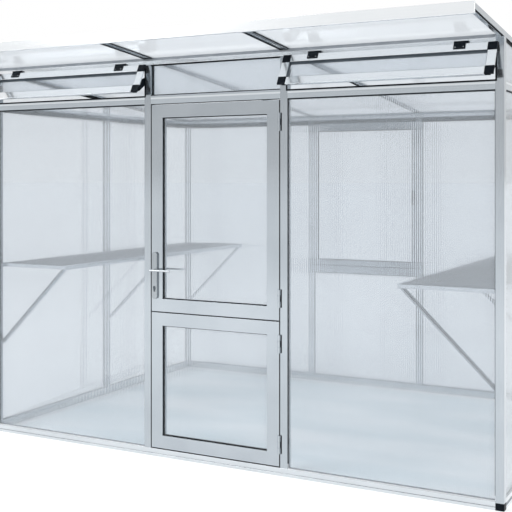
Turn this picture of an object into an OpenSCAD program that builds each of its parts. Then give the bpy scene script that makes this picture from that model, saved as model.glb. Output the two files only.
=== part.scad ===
// Mono-pitch greenhouse: aluminium profiles, twin-wall polycarbonate, stable door, two top-hung vents.
// X runs along the front, Y from the front to the rear, Z up. All sizes in millimetres.

/* [House] */
// Width of the frame over the corner posts
house_width = 3160; // [2900:20:3400]
// Depth of the frame from the front face to the rear face
house_depth = 2280; // [2000:20:2600]
// Face width of the posts
post_face = 42; // [36:1:50]
// Depth of the posts, base rails and ring beam
profile_depth = 40; // [36:1:50]
// Height of the front base rail, which is the door's threshold
threshold_height = 42; // [38:1:50]
// Height of the side and rear base rails
base_height = 54; // [50:1:70]
// Height of the corner shoes
shoe_height = 35; // [25:1:36]
// Underside of the ring beam
beam_z = 1985; // [1900:5:2050]
// Height of the ring beam
beam_height = 47; // [40:1:55]
// Height of the front header
header_height = 22; // [16:1:30]
// Height of the strip between the front header and the roof
header_strip = 10; // [6:1:16]
// Clear width of the middle bay between the door posts
door_bay = 816; // [760:4:900]
// Thickness of the floor panel
floor_thickness = 10; // [6:1:14]

/* [Sheets] */
// Thickness of the wall sheets
wall_sheet = 10; // [8:1:16]
// Distance of the wall sheets behind the outer faces of the frame
sheet_set = 6; // [4:0.5:12]
// Depth to which sheets and panes reach into their profiles
sheet_hold = 10; // [8:1:12]
// Thickness of the gaskets beside a sheet
gasket = 1.5; // [1:0.5:2.5]
// Width of a gasket's lip along the top of a sheet
gasket_lip = 7; // [4:0.5:8]
// Width of a gasket's lip along the sides and the bottom of a sheet
gasket_side_lip = 3; // [2:0.5:4]

/* [Roof] */
// Pitch of the roof in degrees
roof_pitch = 5; // [4:0.5:6]
// Height of the inner rafters' underside over the ring beam at the rear face
eave_rise = 8.5; // [8:0.5:20]
// Width of the gable rafters
gable_width = 32; // [28:1:38]
// How far the gable rafters reach below the inner rafters
gable_drop = 5; // [3:1:8]
// Height of the seals between the gable rafters and the sheets below them
gable_seal = 18; // [10:1:24]
// Width of the inner rafters
rafter_width = 52; // [44:1:60]
// Depth of the channel along the underside of the inner rafters
rafter_channel = 4.5; // [2:0.5:4.5]
// Thickness of the rafter flanges
rafter_flange = 6; // [6:1:9]
// Thickness of the roof sheets
roof_sheet = 10; // [8:1:16]
// Roof overhang in front of the front face
front_overhang = 530; // [300:10:600]
// Roof overhang behind the rear face
rear_overhang = 40; // [30:5:80]
// Thickness of the fascia and of the rear closing profile
fascia_thickness = 12; // [8:1:16]
// How far the fascia hangs below the inner rafters
fascia_drop = 27; // [20:1:35]
// How far the fascia rises over the inner rafters' underside
fascia_rise = 27; // [24:1:35]
// Thickness of the cover caps over the rafters
cap_thickness = 5; // [3:1:8]

/* [Door] */
// Gap round each door leaf
door_gap = 6.5; // [6.5:0.5:9]
// Height of the split between the leaves
split_z = 813; // [760:1:900]
// Width of the leaf frame members
leaf_member = 72; // [60:1:80]
// Thickness of the door panes
leaf_pane = 8; // [4:1:12]
// Distance of the door panes behind the face of their leaf
leaf_recess = 13; // [8:1:16]
// Width of the lips of the gaskets round the door panes
leaf_lip = 4; // [3:0.5:8]
// Height of each hinge
hinge_height = 96; // [80:2:110]
// Radius of the hinge barrels
hinge_radius = 6.5; // [6:0.5:9]
// Radius of the hinge pins
pin_radius = 3; // [2.5:0.5:4]
// Distance of each hinge from the end of its leaf
hinge_inset = 68; // [60:2:100]

/* [Lock] */
// Height of the lever's spindle
lever_z = 1050; // [1000:2:1090]
// Length of the lever from its spindle to its end
lever_length = 126; // [100:2:140]
// Distance of the lever grips from the leaf faces
lever_standoff = 52; // [45:1:60]
// Radius of the lever grips
grip_radius = 5.5; // [4.5:0.5:9]
// Width of the back plates
plate_width = 32; // [28:1:44]
// Height of the back plates
plate_height = 264; // [230:2:280]
// Thickness of the back plates
plate_thickness = 12; // [8:1:16]

/* [Vents] */
// How far a closed vent covers the ring beam below it
vent_cover = 3; // [2:1:8]
// How far a vent covers the posts beside it
vent_lap = 15; // [10:1:18]
// Opening angle of the vents
vent_angle = 28; // [10:1:35]
// Thickness of the outer flange of the vent frames
vent_flange = 7; // [5:0.5:9]
// Depth of the vent frames behind their flange
vent_body = 15; // [12:1:20]
// Width of the vent frame members
vent_member = 42; // [34:1:44]
// Length of the arms of the vent corner pieces
corner_arm = 45; // [44:1:56]
// Width of the vent hinges
vent_hinge = 58; // [50:2:80]
// Distance of the outer hinges from the left edge of their vent
vent_hinge_left = 140; // [80:2:200]
// Distance of the inner hinges from the right edge of their vent
vent_hinge_right = 152; // [80:2:200]

/* [Shelves] */
// Top of the shelves
shelf_z = 1040; // [900:5:1100]
// Width of each shelf from the side posts inwards
shelf_width = 498; // [400:2:560]
// Height of the shelf rims
rim_height = 25; // [20:1:30]
// Height of the shelf struts' feet above the ground
strut_z = 538; // [500:2:600]
// Vertical thickness of the struts
strut_face = 24; // [18:1:30]

/* [Rear window] */
// Underside of the rear window's sash
window_z = 903; // [860:1:960]
// Width of the sash stiles
sash_stile = 28; // [24:1:40]
// Height of the sash's top rail
sash_top = 58; // [40:1:60]
// Height of the sash's bottom rail
sash_bottom = 42; // [36:1:50]
// Height of the rail under the rear window
window_rail_height = 56; // [40:1:60]

/* [Hidden] */
half_width = house_width / 2;
half_bay = door_bay / 2;
post_out = half_bay + post_face;
corner_in = half_width - post_face;
side_in = half_width - profile_depth;
rear_in = house_depth - profile_depth;
side_low = (house_depth - post_face) / 2;
side_high = (house_depth + post_face) / 2;
beam_top = beam_z + beam_height;
roof_slope = tan(roof_pitch);
rafter_z = round(10 * (beam_top + eave_rise + roof_slope * house_depth)) / 10;
header_top = rafter_z - header_strip;
header_z = header_top - header_height;
rafter_x = half_bay + post_face / 2;
gable_in = half_width - gable_width;
rafter_web = 10;
rafter_fin = 3;
rafter_rib = [1.5, 2];
rafter_rib_x = 8;
gable_ledge = 20;
flange_top = rafter_flange;
sheet_top = flange_top + roof_sheet;
cap_top = sheet_top + cap_thickness;
shoe_collar = 4;
shoe_collar_in = 3;
front_run = round(10 * front_overhang / cos(roof_pitch)) / 10;
rear_run = round(10 * (house_depth + rear_overhang) / cos(roof_pitch)) / 10;
sheet_front = fascia_thickness - front_run;
sheet_rear = rear_run - fascia_thickness;
frame_y = (house_depth + rear_overhang + cap_top * sin(roof_pitch)
    - front_overhang - fascia_drop * sin(roof_pitch)) / 2;
seat_gap = 0.2;
top_pane_y = 22;
channel_spare = 2;
rail_groove = [14, 20];
rail_groove_depth = 5;
side_groove = [15, 31];
side_groove_depth = 8;
gable_bead = [2, 14];
gable_bead_bed = 8;
gable_bead_inset = 1;
leaf_half = half_bay - door_gap;
lower_bottom = threshold_height + door_gap;
lower_top = split_z - door_gap / 2;
upper_bottom = split_z + door_gap / 2;
upper_top = beam_z - door_gap;
hinge_set = 4;
hinge_x = half_bay - hinge_set;
hinge_y = -hinge_radius - 1;
knuckle = hinge_height / 3;
knuckle_gap = 0.5;
pin_play = 0.1;
wing_reach = 12;
wing_thickness = 4;
plate_edge = 10;
plate_x = -leaf_half + plate_width / 2 + plate_edge;
plate_z = 886;
spindle_radius = 5;
spindle_play = 0.5;
cylinder_z = 951;
cylinder_radius = 8.5;
cylinder_reach = 1.5;
cylinder_slot = [10, 24.5];
vent_left = post_out - vent_lap;
vent_right = corner_in + vent_lap;
vent_play = 3;
vent_rest_y = -1.5;
vent_rest_z = header_z;
pivot_y = -9;
pivot_height = 8;
pivot_z = header_z + pivot_height;
pivot_radius = 6;
vent_length = vent_rest_z - beam_top + vent_cover;
vent_pane = 8;
vent_top_lip = 12;
vent_bead = 2;
vent_corner_proud = 1;
hinge_plate = 4;
hinge_leaf = 30;
hinge_bridge = 3;
hinge_lug = 13;
seal_width = 8;
seal_inset = 2;
reveal_lining = 1.5;
rafter_gasket = 5;
rafter_gasket_height = 3;
rafter_lining = 1.5;
stay_width = 6;
stay_radius = 6;
stay_high = 85;
stay_low = 150;
stay_boss = 18;
stay_y = 18;
stay_height = 90;
stay_z = beam_top + stay_height;
shelf_in = side_in - shelf_width;
strut_groove = [13, 20];
strut_groove_depth = 5;
shelf_plate = 3;
rim_width = 10;
bearer_height = 20;
bearer_width = 20;
handle_plate = [24, 8, 68];
handle_arm = [16, 26, 18];
handle_grip = [16, 10, 82];
$fn = 32;

// Places the house so that its overall box stands centred over the origin
module placed() {
    translate([0, -frame_y, 0]) children();
}

// Box between two corners
module block(x, y, z) {
    translate([x[0], y[0], z[0]]) cube([x[1] - x[0], y[1] - y[0], z[1] - z[0]]);
}

// The same shape on the left and the right
module both_sides() {
    children();
    mirror([1, 0, 0]) children();
}

// Lays a part drawn flat on the roof plane: its Z zero is the underside of the inner rafters
module on_roof() {
    translate([0, 0, rafter_z]) rotate([-roof_pitch, 0, 0]) children();
}

// Height over a place along Y of a roof plane that lies so far above the inner rafters' underside
function roof_at(y, above) = rafter_z - roof_slope * y + above / cos(roof_pitch);

// Upright slab whose top follows the roof plane and stays just clear of it
module under_roof(x, y, z_low, above) {
    translate([x[0], 0, 0]) rotate([90, 0, 90]) linear_extrude(x[1] - x[0])
        polygon([[y[0], z_low], [y[1], z_low],
            [y[1], roof_at(y[1], above) - seat_gap], [y[0], roof_at(y[0], above) - seat_gap]]);
}

// Slab widened all round in X and Z
module spread(x, y, z, by) {
    block([x[0] - by, x[1] + by], y, [z[0] - by, z[1] + by]);
}

// Slab with an opening, in the XZ plane
module ring(x, y, z, inner, outer) {
    difference() {
        spread(x, y, z, outer);
        spread(x, [y[0] - 1, y[1] + 1], z, -inner);
    }
}

// Bays of the front and rear walls, each as X limits
function side_bay() = [post_out, corner_in];
function middle_bay() = [-half_bay, half_bay];

// Height limits of the sheet under the rear window
function low_sheet_z() = [base_height, window_z - window_rail_height];

// Place in Y of the rear wall's sheets
function rear_sheet_y() = house_depth - sheet_set - wall_sheet;

// Place in X of the right side wall's sheets
function side_sheet_x() = [half_width - sheet_set - wall_sheet, half_width - sheet_set];

// Turns a wall drawn along the front into the right side wall: X becomes Y
module side_wall() {
    translate([half_width, 0, 0]) rotate([0, 0, 90]) children();
}

// Bays of the side walls, each as Y limits
function side_wall_bays() = [[profile_depth, side_low], [side_high, rear_in]];

// Room that a sheet and its gaskets take inside the profiles round an opening
module channel(x, y, z) {
    spread(x, [y - gasket, y + wall_sheet + gasket], z, sheet_hold + channel_spare);
}

// Sheet held in its channel, standing on the channel's floor
module held_sheet(x, y, z) {
    block([x[0] - sheet_hold, x[1] + sheet_hold], [y, y + wall_sheet],
        [z[0] - sheet_hold - channel_spare, z[1] + sheet_hold]);
}

// Gaskets on both faces of a sheet, with a wider lip along its top
module sheet_gasket(x, y, z) {
    light = [z[0], z[1] - gasket_lip + gasket_side_lip];
    for (side = [y - gasket, y + wall_sheet]) difference() {
        spread(x, [side, side + gasket], z, sheet_hold);
        spread(x, [side - 1, side + gasket + 1], light, -gasket_side_lip);
    }
}

// Every channel cut for the wall sheets
module wall_channels() {
    both_sides() {
        channel(side_bay(), sheet_set, [threshold_height, beam_z]);
        channel(side_bay(), rear_sheet_y(), [base_height, beam_z]);
        side_wall() for (bay = side_wall_bays()) channel(bay, sheet_set, [base_height, beam_z]);
    }
    channel(middle_bay(), rear_sheet_y(), low_sheet_z());
    spread(middle_bay(), [top_pane_y, top_pane_y + wall_sheet], [beam_top, header_z], sheet_hold);
}

module corner_shoe() {
    block([corner_in, half_width], [0, profile_depth], [0, shoe_height - shoe_collar]);
    block([corner_in + shoe_collar_in, half_width - shoe_collar_in],
        [shoe_collar_in, profile_depth - shoe_collar_in], [shoe_height - shoe_collar - 1, shoe_height]);
}

module corner_shoes() {
    color("Black") placed() difference() {
        both_sides() {
            corner_shoe();
            translate([0, house_depth, 0]) mirror([0, 1, 0]) corner_shoe();
        }
        wall_channels();
    }
}

// Grooves along the outer faces of the base rails
module rail_grooves() {
    block([-half_width, half_width], [-1, rail_groove_depth], rail_groove);
    block([-half_width, half_width], [house_depth - rail_groove_depth, house_depth + 1], rail_groove);
    both_sides() block([half_width - side_groove_depth, half_width + 1], [0, house_depth], side_groove);
}

module base_rails() {
    color("Silver") placed() difference() {
        union() {
            block([-corner_in, corner_in], [0, profile_depth], [0, threshold_height]);
            block([-corner_in, corner_in], [rear_in, house_depth], [0, base_height]);
            both_sides() block([side_in, half_width], [profile_depth, rear_in], [0, base_height]);
        }
        rail_grooves();
        wall_channels();
    }
}

module floor_panel() {
    color("LightSteelBlue") placed()
        block([-side_in, side_in], [profile_depth, rear_in], [0, floor_thickness]);
}

module corner_posts() {
    color("Silver") placed() difference() {
        both_sides() for (y = [[0, profile_depth], [rear_in, house_depth]]) {
            under_roof([corner_in, gable_in], y, shoe_height, 0);
            under_roof([gable_in, half_width], y, shoe_height, -gable_drop);
        }
        wall_channels();
    }
}

module door_posts() {
    color("Silver") placed() difference() {
        both_sides() block([half_bay, post_out], [0, profile_depth], [threshold_height, header_z]);
        wall_channels();
    }
}

module wall_posts() {
    color("Silver") placed() difference() {
        both_sides() {
            block([half_bay, post_out], [rear_in, house_depth], [base_height, beam_top]);
            under_roof([side_in, half_width], [side_low, side_high], base_height, -gable_drop);
        }
        wall_channels();
    }
}

module ring_beam() {
    color("Silver") placed() difference() {
        union() {
            for (y = [[0, profile_depth], [rear_in, house_depth]]) {
                both_sides() block(side_bay(), y, [beam_z, beam_top]);
                block(middle_bay(), y, [beam_z, beam_top]);
            }
            both_sides() intersection() {
                for (bay = side_wall_bays()) block([side_in, half_width], bay, [beam_z, beam_top]);
                under_roof([0, half_width], [0, house_depth], 0, -gable_drop);
            }
        }
        wall_channels();
    }
}

module front_header() {
    color("WhiteSmoke") placed() difference() {
        block([-corner_in, corner_in], [0, profile_depth], [header_z, header_top]);
        wall_channels();
    }
}

module rear_eave() {
    color("Silver") placed() under_roof([-corner_in, corner_in], [rear_in, house_depth], beam_top, 0);
}

// Bed along the outer underside of a gable rafter, from so far inside its face
module gable_bead_bed(y, inset) {
    block([half_width - gable_bead[1], half_width - gable_bead[0]], y,
        [inset - gable_drop, gable_bead_bed - gable_drop]);
}

module gable_rafters() {
    color("Silver") placed() both_sides() on_roof() difference() {
        union() {
            block([gable_in, half_width], [sheet_front, sheet_rear], [-gable_drop, flange_top]);
            block([half_width - gable_ledge, half_width], [sheet_front, sheet_rear],
                [flange_top - 1, sheet_top]);
        }
        gable_bead_bed([sheet_front - 1, sheet_rear + 1], -1);
    }
}

// Inner rafters with an open channel and two fine ribs along their underside
module inner_rafters() {
    edge = rafter_width / 2;
    color("Silver") placed() both_sides() on_roof() translate([rafter_x, 0, 0]) {
        difference() {
            block([-edge, edge], [sheet_front, sheet_rear], [0, flange_top]);
            block([rafter_fin - edge, edge - rafter_fin], [sheet_front - 1, sheet_rear + 1],
                [-1, rafter_channel]);
        }
        block([-rafter_web / 2, rafter_web / 2], [sheet_front, sheet_rear],
            [rafter_channel, sheet_top]);
        for (x = [-rafter_rib_x, rafter_rib_x])
            block([x - rafter_rib[0] / 2, x + rafter_rib[0] / 2], [sheet_front, sheet_rear],
                [rafter_channel - rafter_rib[1], rafter_channel]);
    }
}

// Seals between the gable rafters and the sheets below them
module gable_seals() {
    for (bay = side_wall_bays()) intersection() {
        on_roof() block(side_sheet_x(), [sheet_front, sheet_rear],
            [-gable_drop - gable_seal, -gable_drop]);
        block([0, half_width], bay, [beam_top, rafter_z]);
    }
}

// Rubber strips beside and inside the rafters and under the gable rafters
module rafter_gaskets() {
    edge = rafter_width / 2;
    fin = edge - rafter_fin;
    overhang = [sheet_front, -seat_gap];
    height = [flange_top - rafter_gasket_height, flange_top];
    color("Black") placed() both_sides() {
        on_roof() {
            for (side = [-1, 1]) translate([rafter_x + side * edge, 0, 0]) {
                block([min(0, side * rafter_gasket), max(0, side * rafter_gasket)], overhang, height);
                translate([-side * rafter_fin, 0, 0])
                    block([min(0, -side * rafter_lining), max(0, -side * rafter_lining)],
                        [sheet_front, sheet_rear], [0, rafter_channel]);
            }
            block([gable_in - rafter_gasket, gable_in], overhang, height);
            gable_bead_bed([sheet_front, sheet_rear], gable_bead_inset);
        }
        gable_seals();
    }
}

module rafter_caps() {
    color("Silver") placed() both_sides() on_roof() {
        block([gable_in, half_width], [sheet_front, sheet_rear], [sheet_top, cap_top]);
        translate([rafter_x, 0, 0])
            block([-rafter_width / 2, rafter_width / 2], [sheet_front, sheet_rear], [sheet_top, cap_top]);
    }
}

// Fascia at the front ends of the roof sheets and closing profile at their rear ends
module roof_edges() {
    color("WhiteSmoke") placed() on_roof() {
        block([-half_width, half_width], [-front_run, sheet_front], [-fascia_drop, fascia_rise]);
        block([-half_width, half_width], [sheet_rear, rear_run], [-rafter_flange, cap_top]);
    }
}

module roof_sheets() {
    color("GhostWhite") placed() on_roof() {
        both_sides() block([rafter_x + rafter_web / 2, half_width - gable_ledge],
            [sheet_front, sheet_rear], [flange_top, sheet_top]);
        block([-rafter_x + rafter_web / 2, rafter_x - rafter_web / 2], [sheet_front, sheet_rear],
            [flange_top, sheet_top]);
    }
}

// Strips between the wall tops and the roof sheets
module roof_seals() {
    edge = rafter_x + rafter_width / 2;
    color("DarkGray") placed() {
        under_roof([-corner_in, corner_in], [0, profile_depth], header_top, 0);
        on_roof() for (y = [[seal_inset, profile_depth - seal_inset], [rear_in + seal_width, house_depth]]) {
            both_sides() block([edge, gable_in], y, [0, flange_top]);
            block([rafter_width - edge, edge - rafter_width], y, [0, flange_top]);
        }
    }
}

module front_sheets() {
    color("GhostWhite") placed() both_sides() held_sheet(side_bay(), sheet_set, [threshold_height, beam_z]);
}

module side_sheets() {
    color("GhostWhite") placed() both_sides() side_wall() for (bay = side_wall_bays())
        held_sheet(bay, sheet_set, [base_height, beam_z]);
}

// Tapering sheets between the ring beam and the seals under the gable rafters
module gable_sheets() {
    low = gable_drop + gable_seal;
    tip = (rafter_z - low / cos(roof_pitch) - seat_gap - beam_top) / roof_slope;
    color("GhostWhite") placed() both_sides() {
        under_roof(side_sheet_x(), side_wall_bays()[0], beam_top, -low);
        under_roof(side_sheet_x(), [side_high, min(tip, rear_in)], beam_top, -low);
    }
}

module rear_sheets() {
    color("GhostWhite") placed() {
        both_sides() held_sheet(side_bay(), rear_sheet_y(), [base_height, beam_z]);
        held_sheet(middle_bay(), rear_sheet_y(), low_sheet_z());
    }
}

// Weather strips that a vent closes against
module vent_seals() {
    low = beam_top - seal_width;
    block([post_out - seal_width, post_out], [vent_rest_y, 0], [low, header_z]);
    block([corner_in, corner_in + seal_width], [vent_rest_y, 0], [low, header_z]);
    block([post_out, corner_in], [vent_rest_y, 0], [low, beam_top]);
}

module sheet_gaskets() {
    color("Black") placed() {
        both_sides() {
            sheet_gasket(side_bay(), sheet_set, [threshold_height, beam_z]);
            sheet_gasket(side_bay(), rear_sheet_y(), [base_height, beam_z]);
            side_wall() for (bay = side_wall_bays()) sheet_gasket(bay, sheet_set, [base_height, beam_z]);
            vent_seals();
        }
        sheet_gasket(middle_bay(), rear_sheet_y(), low_sheet_z());
        ring(middle_bay(), [top_pane_y - gasket, top_pane_y], [beam_top, header_z], gasket_lip, 0);
    }
}

module door_top_pane() {
    color("GhostWhite") placed()
        spread(middle_bay(), [top_pane_y, top_pane_y + wall_sheet], [beam_top, header_z], sheet_hold);
}

module window_rail() {
    color("Silver") placed() difference() {
        block(middle_bay(), [rear_in, house_depth], [window_z - window_rail_height, window_z]);
        wall_channels();
    }
}

function window_light_x() = [sash_stile - half_bay, half_bay - sash_stile];
function window_light_z() = [window_z + sash_bottom, beam_z - sash_top];
function window_pane_y() = [rear_sheet_y(), rear_sheet_y() + wall_sheet];

module window_sash() {
    color("Silver") placed() difference() {
        block(middle_bay(), [rear_in, house_depth], [window_z, beam_z]);
        block(window_light_x(), [rear_in - 1, house_depth + 1], window_light_z());
        spread(window_light_x(), window_pane_y(), window_light_z(), sheet_hold);
    }
}

module window_pane() {
    color("GhostWhite") placed() spread(window_light_x(), window_pane_y(), window_light_z(), sheet_hold);
}

module window_handle() {
    x = half_bay - sash_stile / 2;
    z = (window_z + beam_z) / 2;
    color("Black") placed() translate([x, rear_in, z]) {
        translate([0, -handle_plate[1] / 2, 0]) cube(handle_plate, center = true);
        translate([0, -handle_arm[1] / 2, 0]) cube(handle_arm, center = true);
        translate([0, -handle_arm[1], (handle_arm[2] - handle_grip[2]) / 2])
            cube(handle_grip, center = true);
    }
}

// Puts a vent drawn flat into its open position: X across, Y down its slope, Z outwards
module vent_placed() {
    translate([0, pivot_y, pivot_z]) rotate([-vent_angle, 0, 0])
        translate([0, vent_rest_y - pivot_y, vent_rest_z - pivot_z])
            rotate([90, 0, 0]) mirror([0, 1, 0]) children();
}

// Place in Y and Z of a point of the open vents, given down their slope and outwards
function vent_at(down, out) =
    let (y = vent_rest_y - out - pivot_y)
    let (z = vent_rest_z - down - pivot_z)
    [pivot_y + y * cos(vent_angle) + z * sin(vent_angle),
        pivot_z - y * sin(vent_angle) + z * cos(vent_angle)];

// Limits of a vent's light and of the body behind its flange, across and down its slope
function vent_light() = [[vent_left + vent_member, vent_right - vent_member],
    [vent_member, vent_length - vent_member]];
function vent_inside() = [[post_out + vent_play, corner_in - vent_play],
    [vent_play, vent_length - vent_cover - vent_play]];

// Rebated frame of a vent: a flange that laps the wall and a body that enters the opening
module vent_shell(flange) {
    light = vent_light();
    difference() {
        union() {
            block([vent_left, vent_right], [0, vent_length], [0, flange]);
            block(vent_inside()[0], vent_inside()[1], [-vent_body, 0]);
        }
        block(light[0], light[1], [-vent_body - 1, flange + 1]);
    }
}

// Zones of the four corner pieces of a vent
module vent_corner_zones() {
    for (x = [[vent_left - 1, vent_left + corner_arm], [vent_right - corner_arm, vent_right + 1]])
        for (down = [[-1, corner_arm], [vent_length - corner_arm, vent_length + 1]])
            block(x, down, [-vent_body - 1, vent_flange + vent_corner_proud]);
}

module vent_frames() {
    color("WhiteSmoke") placed() both_sides() vent_placed() difference() {
        vent_shell(vent_flange);
        vent_corner_zones();
    }
}

module vent_corners() {
    color("Black") placed() both_sides() vent_placed() intersection() {
        vent_shell(vent_flange + vent_corner_proud);
        vent_corner_zones();
    }
}

module vent_panes() {
    light = vent_light();
    color("GhostWhite") placed() both_sides() vent_placed()
        block(light[0], light[1], [-vent_body, vent_pane - vent_body]);
}

// Linings of the vents' reveals with a lip on the pane, and the beads on their inner faces
module vent_gaskets() {
    x = vent_light()[0];
    down = vent_light()[1];
    pane_top = vent_pane - vent_body;
    inner = [x[0] + reveal_lining, x[1] - reveal_lining];
    lip = [x[0] + gasket_side_lip, x[1] - gasket_side_lip];
    color("Black") placed() both_sides() vent_placed() {
        difference() {
            block(x, down, [pane_top, vent_flange - 1]);
            block(inner, [down[0] + reveal_lining, down[1] - reveal_lining],
                [pane_top + gasket, vent_flange]);
            block(lip, [down[0] + vent_top_lip, down[1] - gasket_side_lip],
                [pane_top - 1, pane_top + gasket + 1]);
        }
        difference() {
            block(vent_inside()[0], vent_inside()[1], [-vent_body - vent_bead, -vent_body]);
            block(lip, [down[0] + gasket_side_lip, down[1] - gasket_side_lip],
                [-vent_body - vent_bead - 1, 0]);
        }
    }
}

module vent_hinge(x) {
    barrel_down = vent_rest_z - pivot_z;
    vent_placed()
        block([x, x + vent_hinge], [barrel_down, hinge_leaf], [vent_flange, vent_flange + hinge_plate]);
    translate([x, pivot_y, pivot_z]) rotate([0, 90, 0])
        cylinder(r = pivot_radius, h = vent_hinge + hinge_lug);
    block([x, x + vent_hinge], [pivot_y, 0], [pivot_z - hinge_bridge, pivot_z + pivot_radius]);
}

// Two hinges a vent, handed alike on both vents
module vent_hinges() {
    color("Black") placed() for (left = [-vent_right, vent_left]) {
        vent_hinge(left + vent_hinge_left);
        vent_hinge(left + vent_right - vent_left - vent_hinge_right - vent_hinge);
    }
}

// Plates that hold the vents open, from the posts to the inner faces of the vents
module vent_stays() {
    behind = -vent_body - vent_bead - stay_radius - seat_gap;
    color("Black") placed() both_sides() for (x = [post_out, corner_in - stay_width]) hull() {
        translate([x, stay_y, stay_z]) rotate([0, 90, 0]) cylinder(r = stay_boss, h = stay_width);
        for (down = [stay_high, stay_low]) translate([x, vent_at(down, behind)[0], vent_at(down, behind)[1]])
            rotate([0, 90, 0]) cylinder(r = stay_radius, h = stay_width);
    }
}

module shelf_tops() {
    color("LightSlateGray") placed() both_sides()
        block([shelf_in + rim_width, side_in - rim_width], [profile_depth, rear_in],
            [shelf_z - shelf_plate, shelf_z]);
}

module shelf_rims() {
    color("Silver") placed() both_sides() for (x = [shelf_in, side_in - rim_width])
        block([x, x + rim_width], [profile_depth, rear_in], [shelf_z - rim_height, shelf_z]);
}

// Places along Y of the shelf bearers and struts
function bearer_places() = [profile_depth, (house_depth - bearer_width) / 2, rear_in - bearer_width];

module shelf_bearers() {
    high = shelf_z - shelf_plate;
    color("Silver") placed() both_sides() for (y = bearer_places())
        block([shelf_in + rim_width, side_in - rim_width], [y, y + bearer_width],
            [high - bearer_height, high]);
}

// Band of a strut's side between two heights over its lower edge
module strut_band(heights) {
    high = shelf_z - shelf_plate - bearer_height;
    top = shelf_in + rim_width;
    lean = (side_in - top) / (high - strut_z);
    polygon([[side_in, strut_z + heights[0]], [side_in, strut_z + heights[1]],
        [top + lean * heights[1], high], [top + lean * heights[0], high]]);
}

// Struts between the side posts and the bearers, with a groove along both sides
module shelf_struts() {
    color("Silver") placed() both_sides() for (y = bearer_places())
        translate([0, y + bearer_width, 0]) rotate([90, 0, 0]) difference() {
            linear_extrude(bearer_width) strut_band([0, strut_face]);
            for (z = [-1, bearer_width - strut_groove_depth])
                translate([0, 0, z]) linear_extrude(strut_groove_depth + 1) strut_band(strut_groove);
        }
}

// Lower ends of the hinges of a leaf
function hinge_places(low, high) = [low + hinge_inset, high - hinge_inset - hinge_height];

module post_hinges() {
    wing = knuckle - knuckle_gap;
    color("Silver") placed()
        for (z = concat(hinge_places(lower_bottom, lower_top), hinge_places(upper_bottom, upper_top)))
            translate([hinge_x, 0, z]) {
                for (low = [0, 2 * knuckle + knuckle_gap]) {
                    translate([0, hinge_y, low]) cylinder(r = hinge_radius, h = wing);
                    block([0, wing_reach], [-wing_thickness, 0], [low, low + wing]);
                }
                translate([0, hinge_y, 0]) cylinder(r = pin_radius, h = hinge_height);
            }
}

module leaf_hinges(low, high) {
    for (z = hinge_places(low, high)) translate([hinge_x, 0, z + knuckle]) difference() {
        union() {
            translate([0, hinge_y, 0]) cylinder(r = hinge_radius, h = knuckle);
            block([-wing_reach, 0], [-wing_thickness, 0], [0, knuckle]);
        }
        translate([0, hinge_y, -1]) cylinder(r = pin_radius + pin_play, h = knuckle + 2);
    }
}

function leaf_light_x() = [leaf_member - leaf_half, leaf_half - leaf_member];
function leaf_light_z(low, high) = [low + leaf_member, high - leaf_member];

// Leaf frame with the channel that holds its pane
module leaf_frame(low, high) {
    difference() {
        block([-leaf_half, leaf_half], [0, profile_depth], [low, high]);
        block(leaf_light_x(), [-1, profile_depth + 1], leaf_light_z(low, high));
        spread(leaf_light_x(), [leaf_recess - 2 * gasket, leaf_recess + leaf_pane + 2 * gasket],
            leaf_light_z(low, high), sheet_hold);
    }
}

module leaf_gasket(low, high) {
    for (y = [leaf_recess - 2 * gasket, leaf_recess + leaf_pane])
        ring(leaf_light_x(), [y, y + 2 * gasket], leaf_light_z(low, high), leaf_lip, sheet_hold);
}

module leaf_glass(low, high) {
    spread(leaf_light_x(), [leaf_recess, leaf_recess + leaf_pane], leaf_light_z(low, high), sheet_hold);
}

// Round hole for the lever's spindle through the leaf and its plates
module spindle_hole() {
    translate([plate_x, -plate_thickness - 1, lever_z]) rotate([-90, 0, 0])
        cylinder(r = spindle_radius + spindle_play, h = profile_depth + 2 * plate_thickness + 2);
}

module upper_frame() {
    color("Silver") placed() difference() {
        leaf_frame(upper_bottom, upper_top);
        spindle_hole();
    }
}

module upper_gasket() {
    color("Black") placed() leaf_gasket(upper_bottom, upper_top);
}

module upper_pane() {
    color("Azure") placed() leaf_glass(upper_bottom, upper_top);
}

module upper_hinges() {
    color("Silver") placed() leaf_hinges(upper_bottom, upper_top);
}

// Back plate with round ends, whose inner face lies at so much along Y
module back_plate(y) {
    radius = plate_width / 2;
    ends = [plate_z + radius, plate_z + plate_height - radius];
    for (z = ends)
        translate([plate_x, y, z]) rotate([-90, 0, 0]) cylinder(r = radius, h = plate_thickness);
    block([plate_x - radius, plate_x + radius], [y, y + plate_thickness], ends);
}

// End of the lock cylinder, round above and straight below, reaching out of both faces of a plate
module lock_cylinder(y) {
    depth = plate_thickness + 2 * cylinder_reach;
    translate([plate_x, y - cylinder_reach, cylinder_z]) {
        rotate([-90, 0, 0]) cylinder(r = cylinder_radius, h = depth);
        translate([-cylinder_slot[0] / 2, 0, -cylinder_slot[1]])
            cube([cylinder_slot[0], depth, cylinder_slot[1]]);
    }
}

// Back plates on both faces of the leaf, each with the end of the lock cylinder
module lock_plates() {
    color("Silver") placed() difference() {
        for (y = [-plate_thickness, profile_depth]) {
            back_plate(y);
            lock_cylinder(y);
        }
        block([-leaf_half, leaf_half], [0, profile_depth], [upper_bottom, upper_top]);
        spindle_hole();
    }
}

module lever_handle() {
    color("Silver") placed() translate([plate_x, 0, lever_z]) {
        translate([0, -lever_standoff, 0]) rotate([-90, 0, 0])
            cylinder(r = spindle_radius, h = profile_depth + 2 * lever_standoff);
        for (y = [-lever_standoff, profile_depth + lever_standoff])
            translate([-grip_radius, y, 0]) rotate([0, 90, 0])
                cylinder(r = grip_radius, h = lever_length + grip_radius);
    }
}

module lower_frame() {
    color("Silver") placed() leaf_frame(lower_bottom, lower_top);
}

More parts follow.
